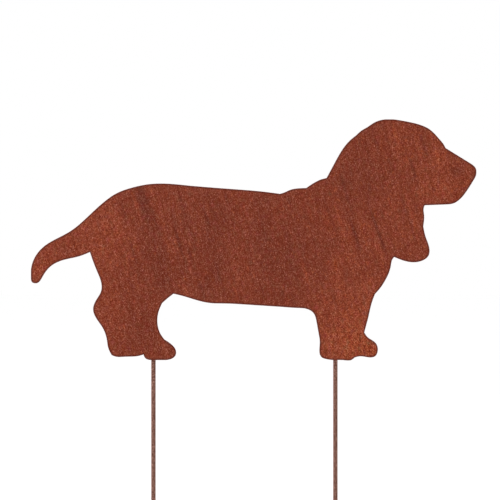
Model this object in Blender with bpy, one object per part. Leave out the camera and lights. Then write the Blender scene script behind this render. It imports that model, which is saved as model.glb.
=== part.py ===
"""A garden stake: a basset hound cut from sheet steel, welded to two round rods.

Metres, +Z up, +X towards the nose, +Y away from the viewer. The origin is the centre of the rear
rod's flat lower end, where the rod meets the ground.
"""

import math

import bmesh
import bpy
import numpy as np
from mathutils import Matrix, Vector

# Driving dimensions
FIGURE_LENGTH = 0.430          # tail tip to nose
SHEET_THICKNESS = 0.002
STAKE_DIAMETER = 0.004
STAKE_CLEAR = 0.150            # ground line to the lowest sole
STAKE_OVERLAP = 0.060          # stretch of rod that lies behind the sheet
JOINT_GAP = 0.0003             # sheet to rod, and sheet to weld
WELD_LENGTH = 0.010
WELD_REACH = 0.0025            # how far a weld spreads to each side of its rod, and rises on it
WELD_END_MARGIN = 0.006        # lower edge of the sheet to the lower weld's middle

# Fineness of the facets
OUTLINE_STEP = 0.0025          # longest straight stretch along a curve of the outline
STAKE_SIDES = 36

# Places of the rods, and the lowest point of the outline over them, as shares of the length
REAR_STAKE_SHARE = 0.2747
FRONT_STAKE_SHARE = 0.6838
SOLE_SHARE_AT_STAKES = 0.0015

# The silhouette in thousandths of its own length: x from the tail tip, z from the lowest sole.
# Each stretch is one smooth curve, and it ends in a corner at the first point of the next.
SILHOUETTE = (
    ("tail and rump", ((0, 190), (1, 208), (11, 235), (32, 258), (61, 275), (90, 291), (126, 321),
                       (167, 358), (194, 376), (224, 387), (260, 395), (300, 397), (340, 394))),
    ("loin and back", ((359, 392), (447, 385), (520, 379))),
    ("first neck fold", ((559, 374), (569, 377), (581, 382.5), (597, 386))),
    ("second neck fold", ((618, 387), (638, 400), (652, 406.5))),
    ("nape", ((664, 409.5), (682, 443), (702, 477), (717, 494.5))),
    ("back of the skull", ((730, 505), (741, 515))),
    ("crown and brow", ((756, 524), (775, 536), (801, 541.5), (840, 537), (879, 527), (896, 518))),
    ("stop", ((907, 508), (918, 495.5), (927, 484))),
    ("bridge of the muzzle", ((930.5, 477),)),
    ("nose and lip", ((988, 441.5), (997.5, 433), (1000, 421), (993, 404.5), (976, 378),
                      (960, 360), (948, 353))),
    ("jaw", ((935, 351),)),
    ("front of the ear", ((884, 349), (881.5, 343), (882.5, 326), (881.5, 309))),
    ("ear flap", ((880.5, 301), (886, 277), (894, 253), (892.5, 236), (878, 224.5), (858, 221),
                  (833, 226))),
    ("chest", ((815.5, 233), (812, 229), (807.5, 212), (796, 182), (783, 162))),
    ("brisket", ((772, 149.5), (764, 127), (757, 97), (752.5, 80))),
    ("fore paw", ((748, 63), (755.5, 52.5), (774, 39), (778.5, 24), (772.5, 10), (759, 7.5),
                  (742, 10), (730.5, 8.5))),
    ("fore leg", ((726.5, 7), (718, 1), (700, 1.5), (684, 1.5), (664, 3.5), (651.5, 9), (648, 24),
                  (649, 42), (646, 63), (641.5, 88), (635, 106.5), (619, 116.5), (600, 118.5))),
    ("belly", ((562, 121), (484, 126), (435, 128.5), (403, 129.5), (372, 136), (346, 144))),
    ("groin", ((320, 150.5), (307, 140.5))),
    ("thigh", ((294, 129), (287, 112.5), (283.5, 95), (285, 74.5), (292, 57))),
    ("hind paw", ((299.5, 47), (313.5, 37.5), (325, 22.5), (324, 11), (316, 4.5))),
    ("hind sole", ((303.5, 1.5),)),
    ("hind pad", ((270, 1.5), (260, 3.5), (255, 8.5))),
    ("second hind paw", ((253, 14), (240, 10.5), (210, 9), (191.5, 9))),
    ("hock", ((181.5, 12.5), (173.5, 30), (171, 46), (160, 76), (144, 100.5), (140, 114),
              (147.5, 137), (157.5, 154.5), (158.5, 173), (149, 200))),
    ("under the tail", ((132.5, 244), (108, 234.5), (66, 224), (44, 212), (25, 187.5), (13, 174),
                        (3.5, 175.5))),
)

RUST = (0.222, 0.047, 0.026, 1.0)
ROD_STEEL = (0.216, 0.107, 0.078, 1.0)


def clear_scene():
    for obj in list(bpy.data.objects):
        bpy.data.objects.remove(obj, do_unlink=True)


def finish_material(name, colour, roughness, metallic):
    material = bpy.data.materials.new(name)
    material.use_nodes = True
    shader = material.node_tree.nodes["Principled BSDF"]
    shader.inputs["Base Color"].default_value = colour
    shader.inputs["Roughness"].default_value = roughness
    shader.inputs["Metallic"].default_value = metallic
    return material


def add_object(name, bm, material=None):
    mesh = bpy.data.meshes.new(name)
    bm.to_mesh(mesh)
    bm.free()
    obj = bpy.data.objects.new(name, mesh)
    bpy.context.collection.objects.link(obj)
    if material:
        mesh.materials.append(material)
    return obj


# The outline

def spline_bends(places, knots):
    """Second derivatives of the natural cubic spline through the knots."""
    count = len(knots)
    steps = np.diff(places)
    slopes = np.diff(knots, axis=0) / steps[:, None]
    matrix = np.eye(count)
    right = np.zeros_like(knots)
    for i in range(1, count - 1):
        matrix[i, i - 1] = steps[i - 1]
        matrix[i, i] = 2 * (steps[i - 1] + steps[i])
        matrix[i, i + 1] = steps[i]
        right[i] = 6 * (slopes[i] - slopes[i - 1])
    return np.linalg.solve(matrix, right)


def smooth_curve(knots, longest_step):
    """Points along one smooth curve through the knots, without its last point."""
    knots = np.array(knots, float)
    reach = np.linalg.norm(np.diff(knots, axis=0), axis=1)
    places = np.concatenate(([0.0], np.cumsum(reach)))
    bends = spline_bends(places, knots)
    points = []
    for i, length in enumerate(reach):
        pieces = max(1, math.ceil(length / longest_step)) if len(knots) > 2 else 1
        for k in range(pieces):
            b = k / pieces
            a = 1 - b
            bow = ((a ** 3 - a) * bends[i] + (b ** 3 - b) * bends[i + 1]) * length ** 2 / 6
            points.append(a * knots[i] + b * knots[i + 1] + bow)
    return points


def silhouette_points():
    """The closed outline in metres, clockwise as the viewer sees it, sole level at z = 0."""
    share = FIGURE_LENGTH / 1000
    stretches = [np.array(knots, float) * share for _, knots in SILHOUETTE]
    points = []
    for i, knots in enumerate(stretches):
        corner = stretches[(i + 1) % len(stretches)][0]
        points += smooth_curve(np.vstack((knots, corner)), OUTLINE_STEP)
    return points


def sheet_back():
    return -(STAKE_DIAMETER / 2 + JOINT_GAP)


def figure_x():
    """Where the tail tip is, with the rear rod at x = 0."""
    return -REAR_STAKE_SHARE * FIGURE_LENGTH


def build_plate():
    bm = bmesh.new()
    back = sheet_back()
    rim = [bm.verts.new((figure_x() + x, back, STAKE_CLEAR + z)) for x, z in silhouette_points()]
    face = bm.faces.new(rim)
    front = bmesh.ops.extrude_face_region(bm, geom=[face])["geom"]
    moved = [item for item in front if isinstance(item, bmesh.types.BMVert)]
    bmesh.ops.translate(bm, verts=moved, vec=(0, -SHEET_THICKNESS, 0))
    bmesh.ops.recalc_face_normals(bm, faces=bm.faces)
    add_object("hound_plate", bm, finish_material("rusted sheet steel", RUST, 0.82, 0.25))


# The rods and their welds

def rod_mesh(length):
    """A rod along +Z from the origin, with a flat of its facets turned to the sheet."""
    bm = bmesh.new()
    bmesh.ops.create_cone(bm, cap_ends=True, segments=STAKE_SIDES, radius1=STAKE_DIAMETER / 2,
                          radius2=STAKE_DIAMETER / 2, depth=length)
    half_facet = math.pi / STAKE_SIDES
    bmesh.ops.rotate(bm, verts=bm.verts, matrix=Matrix.Rotation(half_facet, 3, "Z"))
    bmesh.ops.translate(bm, verts=bm.verts, vec=(0, 0, length / 2))
    return bm


def weld_mesh(middle_z):
    """A low puddle of weld metal across the rod, flat on the side that meets the sheet."""
    radius = STAKE_DIAMETER / 2
    bm = bmesh.new()
    bmesh.ops.create_uvsphere(bm, u_segments=20, v_segments=12, radius=1)
    spread = Vector((radius + WELD_REACH, WELD_REACH, WELD_LENGTH / 2))
    bmesh.ops.scale(bm, verts=bm.verts, vec=spread)
    everything = list(bm.verts) + list(bm.edges) + list(bm.faces)
    cut = bmesh.ops.bisect_plane(bm, geom=everything, plane_co=(0, 0, 0), plane_no=(0, 1, 0),
                                 clear_inner=True)["geom_cut"]
    rim = [edge for edge in cut if isinstance(edge, bmesh.types.BMEdge)]
    bmesh.ops.contextual_create(bm, geom=rim)
    bmesh.ops.recalc_face_normals(bm, faces=bm.faces)
    bmesh.ops.translate(bm, verts=bm.verts, vec=(0, -radius, middle_z))
    return bm


def build_stake(name, share):
    """One rod, its foot at the ground line, with a weld near the sole and one at its top."""
    sole = STAKE_CLEAR + SOLE_SHARE_AT_STAKES * FIGURE_LENGTH
    top = sole + STAKE_OVERLAP
    stake = add_object(name, rod_mesh(top), finish_material(name + " steel", ROD_STEEL, 0.7, 0.35))
    stake.location.x = figure_x() + share * FIGURE_LENGTH
    for place, middle in (("low", sole + WELD_END_MARGIN), ("high", top - WELD_LENGTH / 2)):
        weld = add_object(f"{name}_{place}_weld_shape", weld_mesh(middle))
        weld.parent = stake
        weld.hide_render = True
        weld.display_type = "WIRE"
        union = stake.modifiers.new(place + " weld", "BOOLEAN")
        union.operation = "UNION"
        union.solver = "EXACT"
        union.object = weld
    stake.data.shade_smooth()
    stake.data.set_sharp_from_angle(angle=math.radians(40))


def main():
    clear_scene()
    build_plate()
    build_stake("rear_stake", REAR_STAKE_SHARE)
    build_stake("front_stake", FRONT_STAKE_SHARE)


main()
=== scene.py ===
# %% [markdown]
# A rusted steel hound on two rods.
#
# The real object is a garden stake: the outline of a basset hound, cut from sheet steel and left to
# rust, with two round rods welded to its back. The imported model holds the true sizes, so this
# lesson never measures anything twice. It loads that model, dresses each part with a finer mesh and
# a rust finish, and lights it as a studio would.

# %% Load the frame
import math

import bmesh
import bpy
import numpy as np
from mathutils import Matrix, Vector, noise
from mathutils.bvhtree import BVHTree


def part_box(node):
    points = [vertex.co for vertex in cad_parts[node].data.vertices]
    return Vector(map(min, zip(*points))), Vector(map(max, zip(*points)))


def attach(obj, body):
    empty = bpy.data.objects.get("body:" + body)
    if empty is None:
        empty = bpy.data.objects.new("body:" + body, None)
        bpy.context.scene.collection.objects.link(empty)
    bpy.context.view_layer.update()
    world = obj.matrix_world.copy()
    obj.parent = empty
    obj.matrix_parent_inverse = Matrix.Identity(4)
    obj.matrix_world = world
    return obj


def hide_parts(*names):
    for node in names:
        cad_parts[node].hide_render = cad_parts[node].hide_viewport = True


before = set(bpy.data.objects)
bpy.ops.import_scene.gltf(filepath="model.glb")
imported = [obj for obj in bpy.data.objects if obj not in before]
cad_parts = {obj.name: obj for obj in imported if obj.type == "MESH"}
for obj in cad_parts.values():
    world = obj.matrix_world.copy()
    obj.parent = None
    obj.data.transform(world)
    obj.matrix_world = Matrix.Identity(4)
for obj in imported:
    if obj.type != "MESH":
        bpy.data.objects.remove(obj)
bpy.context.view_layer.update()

sheet_low, sheet_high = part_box("hound_plate")
print("sheet from", tuple(sheet_low), "to", tuple(sheet_high))

# %% [markdown]
# The scale of the picture.
#
# A few places read off the picture are enough to tie it to the model: the two ends of the figure and
# the row of its lowest sole. The figure's length divided by the pixels between its ends is the size
# of one pixel at the sheet, and the camera is placed with it. The patches of the finish are placed in
# thousandths of the figure's length. Metres would do too, but thousandths survive a change of its
# size.

# %% The scale of the picture
PHOTO_SIDE = 500
TAIL_TIP_PX = 30.9
NOSE_PX = 476.4
SOLE_PX = 360.52

figure_length = sheet_high.x - sheet_low.x
thousandth = figure_length / 1000
pixel = figure_length / (NOSE_PX - TAIL_TIP_PX)
print(f"one pixel is {pixel * 1000:.3f} mm at the sheet")


def on_sheet(along, up):
    """A point on the front of the sheet, in thousandths of the figure from its tail tip and sole."""
    return Vector((sheet_low.x + along * thousandth, sheet_low.y, sheet_low.z + up * thousandth))


# %% [markdown]
# The camera.
#
# The picture shows the sheet square on, with no sign of its thickness, so it was taken from far away
# with a long lens. A camera far off on the sheet's own normal does the same. The lens follows from
# similar triangles: the sensor is to the focal length as the width of the view is to the distance.

# %% The camera
CAMERA_DISTANCE = 2.4
SENSOR_WIDTH_MM = 36
view_width = PHOTO_SIDE * pixel

camera_data = bpy.data.cameras.new("camera")
camera_data.sensor_width = SENSOR_WIDTH_MM
camera_data.lens = SENSOR_WIDTH_MM * CAMERA_DISTANCE / view_width
camera = bpy.data.objects.new("camera", camera_data)
camera.location = (
    sheet_low.x + (PHOTO_SIDE / 2 - TAIL_TIP_PX) * pixel,
    sheet_low.y - CAMERA_DISTANCE,
    sheet_low.z + (SOLE_PX - PHOTO_SIDE / 2) * pixel,
)
camera.rotation_euler = (math.radians(90), 0, 0)
bpy.context.scene.collection.objects.link(camera)
bpy.context.scene.camera = camera
print(f"lens {camera_data.lens:.0f} mm, {CAMERA_DISTANCE} m away")

# %% [markdown]
# The light.
#
# A product picture on white is lit so that the surroundings burn out. Three things do that here. The
# world is seen as plain white, and gives a weaker even light. An overhead light, so wide that it has
# no edge, brings the floor just up to white, and the floor throws light back on both sides of the
# sheet. More would be a fault: a floor brighter than white eats into the edges of the rods in front
# of it. A key box at the left and in front gives the rods their lighter left side. The view
# transform is Standard, because the colours of the finish were read off the picture as they are
# displayed, and a film-like transform would bend them.

# %% The light
WORLD_LIGHT = 0.40
OVERHEAD_LIGHT = 2.35
OVERHEAD_HEIGHT = 3.0
OVERHEAD_SPREAD = math.radians(60)
KEY_POWER = 20
KEY_PLACE = Vector((-1.5, -1.5, 0.9))
KEY_SIZE = 0.8


def add_light(name, kind, place, aim, strength):
    """A studio light that the camera doesn't see."""
    lamp = bpy.data.lights.new(name, kind)
    lamp.energy = strength
    obj = bpy.data.objects.new(name, lamp)
    obj.location = place
    obj.rotation_mode = "QUATERNION"
    obj.rotation_quaternion = (Vector(aim) - Vector(place)).to_track_quat("-Z", "Y")
    obj.visible_camera = False
    bpy.context.scene.collection.objects.link(obj)
    return lamp


def white_world():
    """A world that the camera sees as white, and that lights the object more weakly."""
    world = bpy.data.worlds.new("studio")
    world.use_nodes = True
    tree = world.node_tree
    backdrop = tree.nodes["Background"]
    backdrop.inputs["Color"].default_value = (1, 1, 1, 1)
    path = tree.nodes.new("ShaderNodeLightPath")
    strength = tree.nodes.new("ShaderNodeMapRange")
    strength.inputs["To Min"].default_value = WORLD_LIGHT
    strength.inputs["To Max"].default_value = 1.0
    tree.links.new(path.outputs["Is Camera Ray"], strength.inputs["Value"])
    tree.links.new(strength.outputs["Result"], backdrop.inputs["Strength"])
    bpy.context.scene.world = world


middle = on_sheet(500, 250)
above = Vector((0, 0, OVERHEAD_HEIGHT))
white_world()
overhead = add_light("overhead light", "SUN", middle + above, middle, OVERHEAD_LIGHT)
overhead.angle = OVERHEAD_SPREAD
key = add_light("key box", "AREA", middle + KEY_PLACE, middle, KEY_POWER)
key.size = KEY_SIZE

view = bpy.context.scene.view_settings
view.view_transform = "Standard"
view.look = "None"
print("world light", WORLD_LIGHT, "overhead light", OVERHEAD_LIGHT, "key box", KEY_POWER, "W")

# %% [markdown]
# The floor.
#
# The floor is a stage and no part of the object. In a studio it would be a sheet of paper, bent up
# behind the object to hide where the floor ends. A wide flat disc is simpler, and it does the same
# here, because the overhead light brings it just up to the white of the world behind it. It lies at
# the level of the rods' feet, the ground line of the real stake.

# %% The floor
FLOOR_RADIUS = 12.0
FLOOR_WHITE = 0.9
FLOOR_ROUGHNESS = 0.9


def mesh_object(name, bm):
    """The finished bmesh as an object of the scene, at the origin."""
    mesh = bpy.data.meshes.new(name)
    bm.to_mesh(mesh)
    bm.free()
    obj = bpy.data.objects.new(name, mesh)
    bpy.context.scene.collection.objects.link(obj)
    return obj


disc = bmesh.new()
bmesh.ops.create_circle(disc, cap_ends=True, segments=96, radius=FLOOR_RADIUS)
floor = mesh_object("floor", disc)
floor_paint = bpy.data.materials.new("pale floor")
floor_paint.use_nodes = True
paint_inputs = floor_paint.node_tree.nodes["Principled BSDF"].inputs
paint_inputs["Base Color"].default_value = (FLOOR_WHITE, FLOOR_WHITE, FLOOR_WHITE, 1)
paint_inputs["Roughness"].default_value = FLOOR_ROUGHNESS
floor.data.materials.append(floor_paint)
print("floor radius", FLOOR_RADIUS, "m")

# %% [markdown]
# The sheet, step one: a clean copy.
#
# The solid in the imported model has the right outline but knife-sharp edges, and its faces are long
# loose triangles that can't carry any relief. A copy is welded together and its coplanar triangles
# are dissolved, which leaves one big face in front, one behind, and a wall of small quads round the
# outline. Rust takes up more room than the steel it grew from, so the crust on the cut stands a hair
# proud of it: the outline is pushed out by that much, but never past the model's box. A tree of the
# wall faces is kept: the distance from any point to the wall tells later how far it lies from the
# cut edge.

# %% A clean copy of the sheet
MERGE_DISTANCE = 1e-6
COPLANAR = math.radians(0.3)
CRUST = 0.00016


def is_wall(face):
    """Whether a face belongs to the cut wall, and not to the front or the back."""
    return abs(face.normal.y) < 0.5


def clean_copy(node):
    """A node's mesh, welded together, with its coplanar triangles dissolved."""
    bm = bmesh.new()
    bm.from_mesh(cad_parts[node].data)
    bmesh.ops.remove_doubles(bm, verts=bm.verts, dist=MERGE_DISTANCE)
    bmesh.ops.dissolve_limit(bm, angle_limit=COPLANAR, verts=bm.verts, edges=bm.edges)
    bm.verts.index_update()
    bm.normal_update()
    return bm


def grow_crust(bm, low, high):
    """Pushes the outline outwards, and back where it would leave the box."""
    outwards = {vert: Vector((vert.normal.x, 0, vert.normal.z)).normalized() for vert in bm.verts}
    for vert, out in outwards.items():
        place = vert.co + out * CRUST
        vert.co.x = min(high.x, max(low.x, place.x))
        vert.co.z = min(high.z, max(low.z, place.z))
    bm.normal_update()


sheet = clean_copy("hound_plate")
grow_crust(sheet, sheet_low, sheet_high)
wall = [[v.index for v in face.verts] for face in sheet.faces if is_wall(face)]
cut_edge = BVHTree.FromPolygons([v.co.copy() for v in sheet.verts], wall)
print("clean copy:", len(sheet.faces), "faces,", len(wall), "of them in the cut wall")

# %% [markdown]
# The sheet, step two: soft edges and a band beside the cut.
#
# A laser leaves a crisp edge, but rust and handling round it by a fraction of a millimetre, and that
# thin rounded line is what catches light on a real one. Bevelling the outline's edges makes it. The
# burnt band beside the cut is about a millimetre wide, so an inset ring of faces of that width is
# laid round the sheet. A texture alone could draw the band, but its border would be ragged where
# the faces are wide, and the ring gives it a border that follows the outline exactly.

# %% Soft edges and a band beside the cut
EDGE_ROUND = 0.00012
BAND_WIDTH = 0.0011

outline = [e for e in sheet.edges if sum(is_wall(f) for f in e.link_faces) == 1]
bmesh.ops.bevel(sheet, geom=outline, offset=EDGE_ROUND, offset_type="OFFSET", segments=2,
                profile=0.5, affect="EDGES", material=-1)
broad = sorted(sheet.faces, key=lambda face: face.calc_area())[-2:]
bmesh.ops.inset_individual(sheet, faces=broad, thickness=BAND_WIDTH, use_even_offset=True)
ring = [v.co for face in broad for v in face.verts]
reach = [cut_edge.find_nearest(place)[3] * 1000 for place in ring]
print(f"the band's inner border is {min(reach):.2f} to {max(reach):.2f} mm from the cut")

# %% [markdown]
# The sheet, step three: small cells.
#
# Relief needs vertices, and so does any mark that is stored on them. Subdividing the big face isn't
# possible, because it has hundreds of corners, and a remesh would blur the outline. Cutting it with
# parallel planes, first one way and then the other, gives an even grid and leaves the outline as it
# is. The streaks in the rust all lean the same way, so the grid leans with them: its cells are narrow
# across the streaks, where the tone changes fast, and longer along them.

# %% Small cells
LEAN_DEGREES = 16
CELL_WIDTH = 0.0009
CELL_LENGTH = 0.0022
ON_THE_CUT = 1e-5


def lean_directions(degrees):
    """The unit directions across and along a line whose top leans to the left of the picture."""
    turn = math.radians(degrees)
    return Vector((math.cos(turn), 0, math.sin(turn))), Vector((-math.sin(turn), 0, math.cos(turn)))


def cut_through(bm, place, direction):
    """One straight cut through the whole mesh. A vertex that lies on it serves as it is."""
    everything = bm.verts[:] + bm.edges[:] + bm.faces[:]
    bmesh.ops.bisect_plane(bm, geom=everything, dist=ON_THE_CUT, plane_co=place, plane_no=direction)


def cut_in_cells(bm, direction, cell):
    """Parallel cuts through the whole mesh, one cell apart."""
    reach = [vert.co.dot(direction) for vert in bm.verts]
    count = math.ceil((max(reach) - min(reach)) / cell)
    for k in range(1, count):
        place = direction * (min(reach) + (max(reach) - min(reach)) * k / count)
        cut_through(bm, place, direction)


across_streaks, along_streaks = lean_directions(LEAN_DEGREES)
cut_in_cells(sheet, across_streaks, CELL_WIDTH)
cut_in_cells(sheet, along_streaks, CELL_LENGTH)
print("cells:", len(sheet.faces), "faces")

# %% [markdown]
# The sheet, step four: the skin of rust.
#
# Rust eats shallow hollows a few millimetres wide and leaves low scabs between them. The hollows
# come from fractal noise that only ever moves a vertex inwards, so the sheet keeps its full
# thickness at the scabs and never grows. Front and back read the noise far apart from each other, so
# that they don't share their hollows. Beside the cut the depth fades out, because the edge has to
# stay true. Two numbers are stored on each vertex for the finish: how far it lies from the cut, in
# millimetres, and whether it is part of the cut wall itself.

# %% The skin of rust
HOLLOW_DEPTH = 0.00013
HOLLOW_WIDTH = 0.0075
HOLLOW_SWING = 0.8
FADE_FROM_CUT = 0.0030
FLATNESS = 1e-5
SIDES_APART = 20
SHARP_ANGLE = math.radians(50)


def hollow(place):
    """How deep the rust has eaten at a place, from 0 to 1, and half as deep where the noise is 0."""
    return min(1.0, max(0.0, 0.5 + HOLLOW_SWING * noise.fractal(place / HOLLOW_WIDTH, 0.7, 2.1, 4)))


def shade(obj):
    """Smooth shading that stays sharp across the steepest edges."""
    obj.data.shade_smooth()
    obj.data.set_sharp_from_angle(angle=SHARP_ANGLE)


distance_layer = sheet.verts.layers.float.new("cut_distance")
wall_layer = sheet.verts.layers.float.new("cut_wall")
sheet_middle = (sheet_low.y + sheet_high.y) / 2
half_sheet = (sheet_high.y - sheet_low.y) / 2
deepest = 0.0
for vert in sheet.verts:
    distance = cut_edge.find_nearest(vert.co)[3]
    side = 1 if vert.co.y > sheet_middle else -1
    on_broad_face = abs(vert.co.y - sheet_middle) > half_sheet - FLATNESS
    vert[distance_layer] = distance * 1000
    vert[wall_layer] = 0.0 if on_broad_face else 1.0
    if on_broad_face:
        fade = min(1.0, distance / FADE_FROM_CUT) ** 2
        depth = HOLLOW_DEPTH * fade * hollow(vert.co * Vector((1, SIDES_APART * side, 1)))
        vert.co.y -= side * depth
        deepest = max(deepest, depth)
print(f"deepest hollow {deepest * 1000:.2f} mm")

hound = mesh_object("hound", sheet)
shade(hound)

# %% [markdown]
# The rods.
#
# Each rod is plain drawn wire, cut to length. The solid in the model has flat facets, so a rounder
# one is made: a cylinder with a small chamfer at both ends, as a cutter leaves it, sliced into rings
# so that shallow pits can be pressed into it. Its crust of rust widens it a little to both sides, but
# not to the back, because the dressed part may not reach past the model's box.

# %% The rods
ROD_SIDES = 36
ROD_CHAMFER = 0.0003
ROD_CRUST = 0.00015
RING_HEIGHT = 0.0015
PIT_DEPTH = 0.00003
PIT_WIDTH = 0.0022
PIT_MEAN = 0.35


def rod_frame(node):
    """The rod's axis in x, its radius and its top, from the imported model."""
    low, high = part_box(node)
    return (low.x + high.x) / 2, high.y, high.z


def press_pits(bm, axis_x):
    """Moves each vertex towards the rod's axis as far as the rust has eaten there."""
    for vert in bm.verts:
        out = Vector((vert.co.x - axis_x, vert.co.y, 0)).normalized()
        eaten = max(0.0, PIT_MEAN + noise.fractal(vert.co / PIT_WIDTH, 0.8, 2.0, 3))
        vert.co -= out * PIT_DEPTH * min(1.0, eaten)


def make_rod(name, node):
    """A chamfered rod in the place of a node, sliced into rings and pitted."""
    axis_x, radius, top = rod_frame(node)
    bm = bmesh.new()
    bmesh.ops.create_cone(bm, cap_ends=True, segments=ROD_SIDES, radius1=radius, radius2=radius,
                          depth=top)
    bmesh.ops.scale(bm, verts=bm.verts, vec=(1 + ROD_CRUST / radius, 1, 1))
    bmesh.ops.translate(bm, verts=bm.verts, vec=(axis_x, 0, top / 2))
    ends = [e for e in bm.edges if any(len(f.verts) > 4 for f in e.link_faces)]
    bmesh.ops.bevel(bm, geom=ends, offset=ROD_CHAMFER, offset_type="OFFSET", segments=2,
                    profile=0.5, affect="EDGES", material=-1)
    for k in range(1, round(top / RING_HEIGHT)):
        cut_through(bm, (0, 0, k * RING_HEIGHT), (0, 0, 1))
    press_pits(bm, axis_x)
    rod = mesh_object(name, bm)
    shade(rod)
    print(name, "is", round(top * 1000, 1), "mm long,", len(rod.data.polygons), "faces")
    return rod


rods = [make_rod("rear_rod", "rear_stake"), make_rod("front_rod", "front_stake")]

# %% [markdown]
# The welds.
#
# A welder joins rod and sheet with two short beads, one in each groove beside the rod, low down and
# again at the rod's top. A bead is a row of puddles, each frozen over the last. So a row of
# flattened spheres is laid along the groove, smaller at the ends, and a voxel remesh melts them into
# one closed skin with the ripples still in it. A swept tube would be smoother than any real weld.
# Where the beads go is read from the model, whose vertices stand out from the rod only at its welds.

# %% The welds
PUDDLES = 7
PUDDLE_SQUASH = 0.62
END_SWELL = 0.72
MIDDLE_SWELL = 0.28
MELT_VOXEL = 0.00022

# Sizes in radii of the rod
WELD_STANDS_OUT = 1.3
GROOVE_FROM_AXIS = 1.12
GROOVE_FROM_SHEET = 0.36
PUDDLE_RADIUS = 0.74
WANDER = 0.06


def weld_spans(node):
    """Lowest and highest point of each of the rod's two welds."""
    axis_x, radius, top = rod_frame(node)
    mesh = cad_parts[node].data
    heights = [v.co.z for v in mesh.vertices if abs(v.co.x - axis_x) > WELD_STANDS_OUT * radius]
    between = sheet_low.z + (top - sheet_low.z) / 2
    lower = [z for z in heights if z < between]
    upper = [z for z in heights if z > between]
    return (min(lower), max(lower)), (min(upper), max(upper))


def lay_puddles(bm, axis_x, radius, side, low, high):
    """One bead: a row of flattened spheres in the groove on one side of the rod."""
    groove = Vector((axis_x + side * radius * GROOVE_FROM_AXIS,
                     sheet_high.y + radius * GROOVE_FROM_SHEET, 0))
    for k in range(PUDDLES):
        share = (k + 0.5) / PUDDLES
        size = radius * PUDDLE_RADIUS * (END_SWELL + MIDDLE_SWELL * math.sin(math.pi * share))
        wander = WANDER * radius * noise.noise(Vector((k * 1.7, side * 3.1, low * 90)))
        made = bmesh.ops.create_icosphere(bm, subdivisions=3, radius=size)["verts"]
        bmesh.ops.scale(bm, verts=made, vec=(1, 1, PUDDLE_SQUASH))
        place = groove + Vector((side * wander, wander, low + (high - low) * share))
        bmesh.ops.translate(bm, verts=made, vec=place)


def make_weld(name, node, span):
    """The two beads of one weld, one on each side of the rod."""
    axis_x, radius, _ = rod_frame(node)
    bm = bmesh.new()
    for side in (-1, 1):
        lay_puddles(bm, axis_x, radius, side, *span)
    weld = mesh_object(name, bm)
    melt = weld.modifiers.new("melt", "REMESH")
    melt.mode = "VOXEL"
    melt.voxel_size = MELT_VOXEL
    melt.use_smooth_shade = True
    return weld


welds = []
for node, word in (("rear_stake", "rear"), ("front_stake", "front")):
    for height, span in zip(("lower", "upper"), weld_spans(node)):
        welds.append(make_weld(f"{word}_{height}_weld", node, span))
        print(welds[-1].name, "from", round(span[0] * 1000, 1), "to", round(span[1] * 1000, 1), "mm")

# %% [markdown]
# Helpers for shaders.
#
# Building a material by hand in the editor is dragging nodes and wires. In a script the same is two
# steps, again and again: make a node, then set or link its inputs. One helper does both, and a
# shorter one does it for a Math node. The third begins a node group with named inputs, so that an
# effect is built once and placed in several materials, each with its own values.

# %% Helpers for shaders
def wire(tree, kind, inputs, **settings):
    """One node. Each input is a plain value, or a socket to link to."""
    node = tree.nodes.new(kind)
    for name, value in settings.items():
        setattr(node, name, value)
    for key, value in inputs.items():
        if isinstance(value, bpy.types.NodeSocket):
            tree.links.new(value, node.inputs[key])
        else:
            node.inputs[key].default_value = value
    return node


def number(tree, operation, *values):
    """The result of one Math node."""
    return wire(tree, "ShaderNodeMath", dict(enumerate(values)), operation=operation).outputs[0]


def begin_group(name, inputs, output):
    """A node group with float or vector inputs and one float output."""
    tree = bpy.data.node_groups.new(name, "ShaderNodeTree")
    for label, value in inputs.items():
        kind = "NodeSocketFloat" if isinstance(value, (int, float)) else "NodeSocketVector"
        tree.interface.new_socket(name=label, in_out="INPUT", socket_type=kind).default_value = value
    tree.interface.new_socket(name=output, in_out="OUTPUT", socket_type="NodeSocketFloat")
    given = wire(tree, "NodeGroupInput", {}).outputs
    result = wire(tree, "NodeGroupOutput", {}).inputs[output]
    return tree, given, result


print("helpers: wire, number and begin_group")

# %% [markdown]
# Grain and streaks.
#
# Rust is a crust of tiny crystals, so its colour changes from millimetre to millimetre. Where water
# ran over it while it rusted, it left lines that all lean the same way. Noise draws both, and the
# only difference is the shape of one blot: as wide as high for grain, thin and long for a streak. So
# one group does for both. Its Mapping node, in the Texture mode, turns space back by the lean and
# divides it by the size of a blot, in metres. The shift moves each placing to its own part of the
# noise. The value swings about zero, so that a material can use one side for light flecks and the
# other for dark pits.

# %% Grain and streaks
def grain_group():
    """Noise with a lean and a size, as a value that swings about zero."""
    tree, given, result = begin_group(
        "grain", {"Place": (0, 0, 0), "Lean": (0, 0, 0), "Size": (0.002, 0.002, 0.002),
                  "Detail": 1.0, "Shift": 0.0}, "Swing")
    shaped = wire(tree, "ShaderNodeMapping", {"Vector": given["Place"], "Rotation": given["Lean"],
                                              "Scale": given["Size"]}, vector_type="TEXTURE")
    apart = wire(tree, "ShaderNodeVectorMath", {0: shaped.outputs[0], 1: given["Shift"]},
                 operation="ADD")
    field = wire(tree, "ShaderNodeTexNoise", {"Vector": apart.outputs[0], "Scale": 1.0,
                                              "Detail": given["Detail"], "Roughness": 0.6})
    centred = number(tree, "SUBTRACT", field.outputs["Fac"], 0.5)
    tree.links.new(number(tree, "MULTIPLY", centred, 2.0), result)
    return tree


def leaning(degrees):
    """The rotation of a blot whose top leans to the left of the picture, for a Mapping node."""
    return (0, math.radians(-degrees), 0)


GRAIN = grain_group()


def grain(tree, place, size, lean=0.0, detail=0.0, shift=0.0):
    """The grain group, placed with the size of a blot in metres and its lean in degrees."""
    values = {"Place": place, "Size": size, "Lean": leaning(lean), "Detail": detail, "Shift": shift}
    return wire(tree, "ShaderNodeGroup", values, node_tree=GRAIN).outputs["Swing"]


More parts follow.
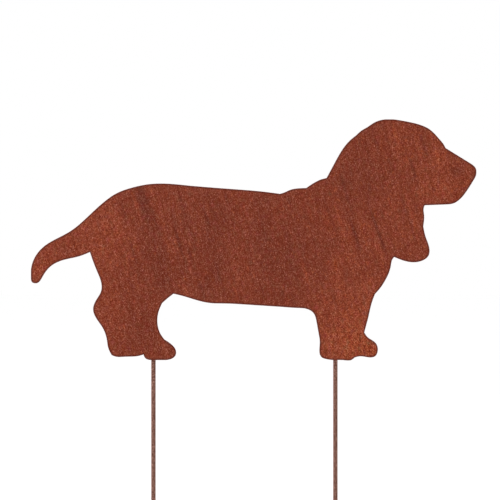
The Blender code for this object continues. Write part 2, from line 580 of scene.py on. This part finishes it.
print("group", GRAIN.name, "with", len(GRAIN.nodes), "nodes")

# %% [markdown]
# Colours.
#
# The colours are written as they are displayed, from 0 to 255, and a helper turns them into the
# linear values that a shader needs. The lights were balanced so that a face square to the camera
# shows nearly its own colour, only a little lighter, so the shades below can be compared with the
# picture directly.

# %% Colours
LIGHT_LEVEL = 1.12


def shown(red, green, blue):
    """A colour as displayed, 0 to 255, as the linear values of a shader."""
    channels = [c / 255 for c in (red, green, blue)]
    linear = [c / 12.92 if c <= 0.04045 else ((c + 0.055) / 1.055) ** 2.4 for c in channels]
    return (*(c / LIGHT_LEVEL for c in linear), 1.0)


RUST_BODY = shown(122.5, 51, 29.5)
RUST_DULL = shown(99, 40, 25)
RUST_ORANGE = shown(149, 64.5, 37)
THICK_RUST = shown(166, 75, 22)
# The two light fleck colours are partly painted glints: highlights of the crystals, painted into the
# colour.
FLECK_WITH_GLINT = shown(206, 132, 112)
WARM_FLECK_WITH_GLINT = shown(211, 133, 104)
DEEP_PIT = shown(101, 29, 6)
YELLOWER = shown(131, 64, 14)
PINKER = shown(127, 58, 68)
REDDER = shown(152, 50, 44)
BROWNER = shown(107, 72, 46)
ORANGE_SPOT = shown(186, 92, 50)
BURNT = shown(76, 34, 25)
RIM = shown(165, 62, 42)
CUT_RUST = shown(102, 42, 27)
print("the body of the rust, as linear values:", [round(c, 3) for c in RUST_BODY])

# %% [markdown]
# Where the rust is more orange, and where it is duller.
#
# The broad marks on the sheet don't come from chance: the tail, the fore leg and the muzzle are
# more orange, the middle of the body and the nape are duller, and a few dark streaks cross the
# sheet. Noise can't be told where to be, so these marks are placed one by one, as soft ovals with a
# ragged border. The shader could draw each of them, but a hundred marks would be too much for one
# material. So numpy works them out once, for all vertices together, and the sum is stored on the
# mesh as one number for each vertex, which the shader then reads.

# %% The patches of the sheet
RAGGED_SIZE = 0.014
RAGGED_DEPTH = 0.12

places = np.empty(len(hound.data.vertices) * 3)
hound.data.vertices.foreach_get("co", places)
places = places.reshape(-1, 3)
ragged = np.array([noise.fractal(Vector(place) / RAGGED_SIZE, 0.7, 2.0, 3) for place in places])


def oval(centre, reach_along, reach_up, lean=0.0, roughen=0.0):
    """For each vertex, 1 at the centre of a leaning oval, falling smoothly to 0 at its border."""
    across, lengthwise = (np.array(direction) for direction in lean_directions(lean))
    away = places - np.array(centre)
    distance = np.hypot(away @ across / reach_along, away @ lengthwise / reach_up)
    inside = np.clip(1 - distance + roughen * ragged, 0, 1)
    return inside ** 2 * (3 - 2 * inside)


def store(name, values):
    """One number for each vertex, for the shader to read."""
    layer = hound.data.attributes.new(name, "FLOAT", "POINT")
    layer.data.foreach_set("value", values)


PATCHES = (
    # mark, then: along, up, reach along, reach up, lean in degrees, more orange (+) or duller (-)
    ("tail", 25, 215, 125, 110, 0, 0.42),
    ("rump", 155, 290, 95, 150, 8, 0.62),
    ("pale rump line", 195, 280, 18, 60, 5, 0.25),
    ("back of the hind leg", 175, 110, 50, 115, 5, 0.45),
    ("thigh", 245, 200, 26, 55, 20, -0.40),
    ("front of the hind leg", 250, 60, 50, 100, 0, -0.40),
    ("hind paw", 307, 38, 28, 30, 0, -0.35),
    ("hind pad", 268, 14, 30, 26, 0, 0.35),
    ("groin", 295, 165, 50, 50, 0, -0.45),
    ("loin streak", 253, 355, 21, 85, 18, -1.15),
    ("pale loin", 262, 325, 20, 30, 10, 0.08),
    ("thigh streak", 285, 235, 42, 110, 16, -0.62),
    ("flank", 400, 300, 90, 110, 8, -0.54),
    ("flank spot", 422, 205, 34, 60, 0, -0.60),
    ("pale flank line", 462, 180, 20, 80, 3, 0.10),
    ("belly spot", 390, 165, 28, 50, 5, -0.50),
    ("back streak", 518, 290, 34, 110, 2, -0.48),
    ("withers", 520, 362, 36, 28, 0, -0.40),
    ("middle of the body", 575, 225, 90, 120, 5, -0.40),
    ("shoulder spot", 655, 200, 22, 40, 0, -0.35),
    ("pale shoulder", 660, 190, 65, 95, 5, 0.15),
    ("pale shoulder streak", 700, 280, 26, 110, 17, 0.40),
    ("nape", 750, 440, 40, 110, 12, -0.26),
    ("nape fold", 702, 402, 32, 50, 0, -0.65),
    ("pale neck streak", 757, 285, 20, 80, 24, 0.48),
    ("ear", 845, 310, 75, 120, 5, 0.50),
    ("crown", 825, 490, 50, 110, 12, 0.45),
    ("back of the crown", 770, 460, 40, 60, 10, 0.15),
    ("forehead", 870, 460, 50, 75, 10, 0.24),
    ("chest", 770, 190, 62, 95, 10, 0.30),
    ("fore leg", 718, 42, 140, 195, 0, 1.10),
    ("fore paw", 742, 34, 50, 45, 0, 0.50),
    ("muzzle", 925, 390, 85, 85, 0, 0.70),
    ("bridge", 915, 460, 34, 50, 0, 0.52),
    ("nose spot", 955, 425, 27, 22, 0, -0.70),
    ("nose tip", 988, 432, 24, 22, 0, 0.50),
    ("tail tip", 15, 205, 26, 26, 0, 0.40),
    ("tail root", 132, 275, 26, 32, 0, -0.25),
    ("middle of the tail", 82, 248, 26, 26, 0, -0.30),
    ("top of the rump", 148, 318, 24, 24, 0, -0.30),
    ("rump line", 210, 335, 22, 50, 10, -0.30),
    ("side of the loin", 325, 315, 22, 42, 5, -0.38),
    ("pale side", 384, 308, 36, 68, 0, 0.45),
    ("low side", 347, 215, 34, 60, 3, -0.45),
    ("low belly", 435, 150, 24, 24, 0, -0.25),
    ("pale elbow", 688, 198, 36, 84, 3, 0.55),
    ("shoulder point", 668, 310, 26, 42, 5, 0.42),
    ("foot of the neck", 710, 352, 28, 34, 0, -0.38),
    ("pale nape", 755, 462, 25, 36, 0, 0.28),
    ("ear line", 838, 312, 27, 66, 10, -0.42),
    ("cheek", 872, 385, 38, 30, 0, 0.38),
    ("breast", 757, 142, 25, 36, 0, 0.35),
    ("throat", 725, 280, 28, 36, 5, 0.25),
    ("front of the brow", 905, 505, 28, 26, 0, 0.52),
    ("toes", 768, 22, 26, 24, 0, 0.75),
    ("heel", 680, 35, 34, 40, 0, 0.22),
)

marks = np.zeros(len(places))
for _, along, up, reach_along, reach_up, lean, strength in PATCHES:
    marks += strength * oval(on_sheet(along, up), reach_along * thousandth, reach_up * thousandth,
                             lean, RAGGED_DEPTH)
print(f"{len(PATCHES)} patches, from {marks.min():.2f} to {marks.max():.2f}")

# %% [markdown]
# Drag lines.
#
# The sheet was dragged over other sheets before it rusted, and the scratches stayed in the rust as
# thin lines, some darker and some lighter, which all lean the same way. Noise gives the faint ones.
# The dozens that stand out at once are placed one by one, because a line across the neck or
# beside the ear is part of how this piece looks. A line is the same oval, only thin, long and with
# no ragged border, so it is added to the same sum.

# %% Drag lines
HALF_LINE_WIDTH = 5.6
LINE_DEPTH = 1.50

DRAG_LINES = (
    # on which part, then: along, up, half its length, lean in degrees, lighter (+) or darker (-)
    ("rump", 155, 290, 45, 17, -0.30),
    ("rump", 154, 255, 26, 14, 0.55),
    ("rump", 210, 335, 48, 17, -0.38),
    ("rump", 238, 345, 46, 15, 0.40),
    ("hind leg", 228, 248, 46, 18, -0.55),
    ("hind leg", 216, 220, 26, 10, 0.30),
    ("hind leg", 225, 165, 30, 17, -0.32),
    ("hind leg", 239, 170, 30, 17, 0.38),
    ("hind leg", 205, 137, 28, 17, -0.35),
    ("loin", 249, 367, 30, 14, -0.40),
    ("loin", 278, 318, 44, 15, -0.55),
    ("loin", 291, 345, 30, 14, 0.25),
    ("loin", 337, 360, 42, 15, -0.32),
    ("loin", 358, 340, 42, 13, 0.28),
    ("flank", 308, 260, 40, 17, 0.38),
    ("flank", 320, 250, 36, 16, 0.35),
    ("flank", 331, 268, 54, 16, -0.85),
    ("flank", 355, 243, 28, 17, -0.38),
    ("flank", 355, 215, 46, 12, 0.36),
    ("flank", 348, 158, 22, 15, 0.40),
    ("belly", 386, 155, 24, 20, -0.45),
    ("belly", 421, 188, 46, 16, -0.35),
    ("belly", 458, 158, 34, 20, 0.45),
    ("back", 395, 320, 38, 18, -0.52),
    ("back", 399, 338, 32, 16, 0.32),
    ("back", 440, 362, 28, 14, -0.42),
    ("back", 478, 345, 38, 14, 0.28),
    ("back", 580, 357, 30, 16, -0.48),
    ("body", 487, 265, 34, 14, -0.32),
    ("body", 521, 155, 24, 16, -0.42),
    ("body", 520, 208, 28, 12, -0.34),
    ("body", 566, 150, 24, 17, -0.38),
    ("body", 615, 200, 68, 15, 0.45),
    ("shoulder", 627, 328, 28, 15, 0.48),
    ("shoulder", 617, 320, 26, 16, -0.34),
    ("shoulder", 672, 325, 84, 20, -0.42),
    ("shoulder", 690, 325, 56, 18, 0.42),
    ("shoulder", 684, 213, 36, 14, 0.80),
    ("shoulder", 704, 195, 42, 14, -0.42),
    ("fore leg", 658, 142, 36, 17, 0.40),
    ("fore leg", 667, 92, 48, 15, -0.48),
    ("fore leg", 673, 42, 32, 16, 0.45),
    ("fore leg", 685, 34, 28, 15, -0.50),
    ("neck", 705, 380, 48, 16, -0.36),
    ("neck", 728, 283, 58, 18.5, -0.95),
    ("neck", 746, 285, 40, 18, 0.32),
    ("neck", 776, 300, 84, 21, -0.62),
    ("neck", 791, 258, 42, 19, -0.42),
    ("neck", 788, 238, 34, 19, 0.48),
    ("neck", 760, 388, 26, 16, -0.40),
    ("crown", 684, 388, 26, 17, 0.40),
    ("crown", 755, 467, 46, 18, -0.38),
    ("crown", 775, 487, 42, 18, -0.55),
    ("crown", 787, 477, 28, 18, 0.36),
    ("crown", 806, 443, 28, 19, -0.48),
    ("crown", 820, 505, 42, 20, 0.42),
    ("brow", 882, 485, 46, 20, -0.52),
    ("brow", 911, 462, 32, 16, 0.48),
    ("cheek", 859, 425, 76, 20.5, -0.68),
    ("cheek", 846, 452, 36, 20, 0.40),
    ("ear", 806, 355, 32, 17, 0.50),
    ("ear", 788, 330, 26, 18, -0.38),
    ("ear", 838, 345, 54, 18, -0.48),
    ("ear", 858, 315, 42, 18, 0.40),
    ("ear", 860, 280, 44, 18, -0.36),
    ("ear", 838, 262, 32, 18, -0.30),
)

for _, along, up, half_length, lean, strength in DRAG_LINES:
    line = oval(on_sheet(along, up), HALF_LINE_WIDTH * thousandth, half_length * thousandth, lean)
    marks += LINE_DEPTH * strength * line
store("rust_marks", marks)
print(f"with {len(DRAG_LINES)} drag lines, from {marks.min():.2f} to {marks.max():.2f}")

# %% [markdown]
# Layers of colour.
#
# A painter who fakes rust works from broad to fine: first the tone, then the grain, then single
# specks, then the edges. The helpers here are those layers. The order matters, because each later
# one covers the earlier. The groups stay neutral, and how strongly their swings act is set in each
# material, so the sheet and the rods can use them with other strengths.

# %% Layers of colour
SIDE_POWER = 1.7


def stored(tree, name):
    """The number that the mesh carries under this name."""
    return wire(tree, "ShaderNodeAttribute", {}, attribute_name=name).outputs["Fac"]


def blend_colour(tree, amount, under, over):
    """The Mix node for colours: under where the amount is 0, over where it is 1."""
    mix = wire(tree, "ShaderNodeMix", {}, data_type="RGBA")
    factor, low, high = mix.inputs[0], mix.inputs[6], mix.inputs[7]
    for value, socket in ((amount, factor), (under, low), (over, high)):
        if isinstance(value, bpy.types.NodeSocket):
            tree.links.new(value, socket)
        else:
            socket.default_value = value
    return mix.outputs[2]


def principled(name):
    """A new material, its tree and its Principled shader."""
    material = bpy.data.materials.new(name)
    material.use_nodes = True
    return material, material.node_tree, material.node_tree.nodes["Principled BSDF"]


def three_tones(tree, tone, dull, body, bright):
    """A colour from a tone that swings about zero: dull at -1, body at 0, bright at 1."""
    ramp = wire(tree, "ShaderNodeValToRGB", {"Fac": number(tree, "MULTIPLY_ADD", tone, 0.5, 0.5)})
    stops = ramp.color_ramp.elements
    stops[0].color = dull
    stops[1].color = bright
    stops.new(0.5).color = body
    return ramp.outputs["Color"]


def one_side(tree, swing, strength):
    """How strongly a swing acts on one of its sides. The power keeps most of it faint."""
    side = number(tree, "MAXIMUM", number(tree, "MULTIPLY", swing, strength), 0.0)
    return number(tree, "POWER", side, SIDE_POWER)


def swung(tree, colour, swing, up_strength, up_colour, down_strength, down_colour):
    """One colour laid over where the grain swings up, another where it swings down."""
    colour = blend_colour(tree, one_side(tree, swing, up_strength), colour, up_colour)
    return blend_colour(tree, one_side(tree, swing, -down_strength), colour, down_colour)


def ranged(tree, colour, value, reach, over):
    """Another colour laid over where a value says so. The reach is: from, to, and both strengths."""
    start, end, at_start, at_end = reach
    mask = wire(tree, "ShaderNodeMapRange", {"Value": value, "From Min": start, "From Max": end,
                                             "To Min": at_start, "To Max": at_end})
    return blend_colour(tree, mask.outputs["Result"], colour, over)


print("a swing of a half acts at a strength of", round(0.5 ** SIDE_POWER, 2))

# %% [markdown]
# The heat of the welds.
#
# Where the rods are welded on, the heat went through the sheet, and its back shows a grey-violet
# tint round each weld. It is soft and ragged, so the same oval draws it, one for each weld, and the
# strongest one counts where two meet. It is one more number on the vertices.

# %% The heat of the welds
HEAT_REACH = 0.016
HEAT_STRENGTH = 0.75


def weld_heat():
    """How strongly the heat of a weld has tinted each vertex, on the back only."""
    heat = np.zeros(len(places))
    for node in ("rear_stake", "front_stake"):
        for low, high in weld_spans(node):
            centre = Vector((rod_frame(node)[0], sheet_high.y, (low + high) / 2))
            heat = np.maximum(heat, oval(centre, HEAT_REACH, HEAT_REACH, roughen=RAGGED_DEPTH))
    return heat * HEAT_STRENGTH * (places[:, 1] > sheet_middle)


heat_marks = weld_heat()
store("heat", heat_marks)
print("the heat of the welds tints", np.count_nonzero(heat_marks), "vertices of the back")

# %% [markdown]
# The tone of the sheet.
#
# Between the placed marks lie fainter ones that chance may draw: clouds, mottle and two kinds of
# streak. Each is the grain group with blots of its own size, and its strength says how far it moves
# the tone. The tone is 0 at the body colour of the rust, lower where it is duller and higher where
# it is more orange, and the placed marks are added to it.

# %% The tone of the sheet
TONE_LAYERS = (
    # layer, then: strength, size of a blot in metres, lean in degrees, detail, shift
    ("clouds", 0.14, (0.05, 0.05, 0.05), 0, 2.0, 3.0),
    ("mottle", 0.06, (0.007, 0.007, 0.010), LEAN_DEGREES, 2.0, 7.0),
    ("broad streaks", 0.24, (0.011, 0.03, 0.14), 6, 1.0, 11.0),
    ("thin streaks", 0.42, (0.0040, 0.03, 0.080), LEAN_DEGREES, 1.0, 13.0),
)


def sheet_tone(tree, place):
    """How far the rust is from its body colour: duller below zero, more orange above."""
    tone = 0.0
    for _, strength, size, lean, detail, shift in TONE_LAYERS:
        swing = grain(tree, place, size, lean, detail, shift)
        tone = number(tree, "MULTIPLY_ADD", swing, strength, tone)
    return number(tree, "ADD", tone, stored(tree, "rust_marks"))


print("layers of the tone:", ", ".join(layer[0] for layer in TONE_LAYERS))

# %% [markdown]
# The skin of the sheet.
#
# The colours of the skin go from the broadest layer to the finest: the tone, orange spots, small
# shifts of hue, and the grain with its light flecks and dark pits. The light flecks are partly
# lighter crystals of rust and partly painted glints, highlights painted into the colour. Thick rust
# has richer hues, warmer flecks and a slightly stronger grain, so those layers read how thick it is
# from the tone. Painting an image would give the same colours for one size only, and noise stays
# sharp at any size.

# %% The skin of the sheet
FINE_GRAIN = (0.00074, 0.00074, 0.0011)
HAIR_LINE = (0.0012, 0.01, 0.011)
SPOT = (0.0017, 0.0017, 0.0026)
HUE_BLOT = (0.0042, 0.0042, 0.0055)

THICK_FROM = 0.20
RICHER_HUES = 0.85
STRONGER_GRAIN = 0.25
MORE_SPOTS = 0.15
THIN_HUES = 1.05
THIN_GRAIN = 1.02

HAIR_LINES = 0.12
# How strongly the light flecks, which are partly painted glints, cover the grain.
FLECKS_WITH_GLINTS = 1.44
PITS = 3.34
HUE_ONE = 0.58
HUE_TWO = 0.67
SPOT_REACH = 0.38, 0.70, 0.0, 0.4
THICK_REACH = 0.8, 1.8, 0.0, 0.4
HEAT_TINT = shown(74, 58, 62)


def skin_colour(tree, place, fine):
    """The colour of the sheet's front and back, before its edges."""
    tone = sheet_tone(tree, place)
    hair_lines = grain(tree, place, HAIR_LINE, LEAN_DEGREES, shift=31.0)
    spots = grain(tree, place, SPOT, LEAN_DEGREES, shift=17.0)
    spots = number(tree, "MULTIPLY_ADD", tone, MORE_SPOTS, spots)
    thicker = number(tree, "MAXIMUM", number(tree, "SUBTRACT", tone, THICK_FROM), 0.0)
    richer = number(tree, "MULTIPLY_ADD", thicker, RICHER_HUES, THIN_HUES)
    hue_one = number(tree, "MULTIPLY", grain(tree, place, HUE_BLOT, shift=23.0), richer)
    hue_two = number(tree, "MULTIPLY", grain(tree, place, HUE_BLOT, shift=37.0), richer)
    stronger = number(tree, "MULTIPLY_ADD", thicker, STRONGER_GRAIN, THIN_GRAIN)
    crust_with_glints = number(tree, "MULTIPLY_ADD", hair_lines, HAIR_LINES, fine)
    crust_with_glints = number(tree, "MULTIPLY", crust_with_glints, stronger)
    # The light fleck colour, warmer on thick rust, is partly a painted glint.
    fleck_with_glint = blend_colour(tree, number(tree, "MINIMUM", thicker, 1.0), FLECK_WITH_GLINT, WARM_FLECK_WITH_GLINT)

    colour = three_tones(tree, tone, RUST_DULL, RUST_BODY, RUST_ORANGE)
    colour = ranged(tree, colour, spots, SPOT_REACH, ORANGE_SPOT)
    colour = swung(tree, colour, hue_one, HUE_ONE, YELLOWER, HUE_ONE, PINKER)
    colour = swung(tree, colour, hue_two, HUE_TWO, REDDER, HUE_TWO, BROWNER)
    colour = ranged(tree, colour, tone, THICK_REACH, THICK_RUST)
    # Light flecks, partly painted glints, where the grain swings up, and dark pits where it swings
    # down.
    colour = swung(tree, colour, crust_with_glints, FLECKS_WITH_GLINTS, fleck_with_glint, PITS, DEEP_PIT)
    return blend_colour(tree, stored(tree, "heat"), colour, HEAT_TINT)


print("rust counts as thick from a tone of", THICK_FROM)

# %% [markdown]
# The rust of the sheet.
#
# Over the skin come the edges. The burnt band beside the cut is read from the distance that the mesh
# carries, and so is the red rim outside it, where handling has rubbed the rust thin. The cut wall
# has its own mark: there, fine lines run straight through the thickness, as a laser leaves them. The
# grain also feeds a Bump node, for the roughness that is too fine for the mesh.

# %% The rust of the sheet
BURNT_REACH = 0.5, 1.9, 0.85, 0.0
RIM_REACH = 0.1, 0.4, 0.9, 0.0
CUT_LINE = (0.0005, 0.02, 0.0005)
CUT_LINES = 1.5
BUMP_STRENGTH = 0.12
BUMP_DEPTH = 0.0001


def edge_colours(tree, place, colour):
    """The burnt band, the rim and the cut wall over the skin. Both reaches are in millimetres."""
    distance = stored(tree, "cut_distance")
    colour = ranged(tree, colour, distance, BURNT_REACH, BURNT)
    colour = ranged(tree, colour, distance, RIM_REACH, RIM)
    lines = grain(tree, place, CUT_LINE, detail=1.0, shift=29.0)
    lines = number(tree, "MULTIPLY", lines, CUT_LINES)
    wall_colour = three_tones(tree, lines, BURNT, CUT_RUST, RUST_BODY)
    return blend_colour(tree, stored(tree, "cut_wall"), colour, wall_colour)


def matt_surface(tree, shader, height, roughness, swing, specular):
    """Roughness that swings with the grain, a faint shine, and the grain as a bump."""
    tree.links.new(number(tree, "MULTIPLY_ADD", height, swing, roughness), shader.inputs["Roughness"])
    shader.inputs["Specular IOR Level"].default_value = specular
    bump = wire(tree, "ShaderNodeBump", {"Height": height, "Strength": BUMP_STRENGTH,
                                         "Distance": BUMP_DEPTH})
    tree.links.new(bump.outputs["Normal"], shader.inputs["Normal"])


def rusted_sheet():
    """The whole material of the sheet."""
    material, tree, shader = principled("rusted sheet")
    place = wire(tree, "ShaderNodeTexCoord", {}).outputs["Object"]
    fine = grain(tree, place, FINE_GRAIN, LEAN_DEGREES, detail=1.0)
    colour = edge_colours(tree, place, skin_colour(tree, place, fine))
    tree.links.new(colour, shader.inputs["Base Color"])
    matt_surface(tree, shader, fine, roughness=0.86, swing=0.12, specular=0.15)
    return material


RUSTED_SHEET = rusted_sheet()
hound.data.materials.append(RUSTED_SHEET)
print("material", RUSTED_SHEET.name, "with", len(RUSTED_SHEET.node_tree.nodes), "nodes")

# %% [markdown]
# The steel of the rods.
#
# The rods are a duller, greyer brown than the sheet: drawn wire has a hard, smooth skin that rusts
# slowly, so grey still shows between the rust. The same grain group serves, with other sizes. The
# flanks, which face along the sheet, are redder than the front. How far round the rod a place lies
# is read from the Normal output of Texture Coordinate, in the rod's own space, so the tint stays
# where it is when the camera moves. The welds get the same finish in darker shades, because the
# heat left a grey-brown scale on them.

# %% The steel of the rods
ROD_SHADES = shown(101, 72, 60), shown(116, 74, 59), shown(126, 71, 51)
WELD_SHADES = shown(66, 60, 60), shown(90, 68, 61), shown(113, 68, 52)
ROD_FLECK = shown(202, 156, 142)
ROD_PIT = shown(76, 40, 30)
ROD_FLANK = shown(168, 68, 42)
ROD_GRAIN = (0.0010, 0.0010, 0.0007)
ROD_CLOUD = (0.006, 0.006, 0.012)
ROD_CLOUDS = 0.15
ROD_FLECKS = 3.1
ROD_PITS = 5.3
FLANK_REACH = 0.72, 0.92, 0.0, 0.5


def dull_steel(name, shades):
    """Grey-brown steel in three shades, from greyest to most rusted."""
    material, tree, shader = principled(name)
    own_space = wire(tree, "ShaderNodeTexCoord", {}).outputs
    clouds = grain(tree, own_space["Object"], ROD_CLOUD, detail=2.0, shift=5.0)
    clouds = number(tree, "MULTIPLY", clouds, ROD_CLOUDS)
    fine = grain(tree, own_space["Object"], ROD_GRAIN, detail=1.0, shift=1.0)
    facing = wire(tree, "ShaderNodeSeparateXYZ", {"Vector": own_space["Normal"]})
    sideways = number(tree, "ABSOLUTE", facing.outputs["X"])
    colour = three_tones(tree, clouds, *shades)
    colour = swung(tree, colour, fine, ROD_FLECKS, ROD_FLECK, ROD_PITS, ROD_PIT)
    colour = ranged(tree, colour, sideways, FLANK_REACH, ROD_FLANK)
    tree.links.new(colour, shader.inputs["Base Color"])
    matt_surface(tree, shader, fine, roughness=0.7, swing=0.15, specular=0.2)
    return material


ROD_STEEL = dull_steel("rod steel", ROD_SHADES)
WELD_STEEL = dull_steel("weld steel", WELD_SHADES)
for rod in rods:
    rod.data.materials.append(ROD_STEEL)
for weld in welds:
    weld.data.materials.append(WELD_STEEL)
print("materials", ROD_STEEL.name, "and", WELD_STEEL.name)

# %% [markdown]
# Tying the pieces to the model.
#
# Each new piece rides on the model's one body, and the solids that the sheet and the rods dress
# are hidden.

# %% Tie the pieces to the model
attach(hound, "root")
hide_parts("hound_plate")
for rod, node in zip(rods, ("rear_stake", "front_stake")):
    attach(rod, "root")
    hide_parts(node)
for weld in welds:
    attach(weld, "root")
print(1 + len(rods) + len(welds), "pieces ride on the root")
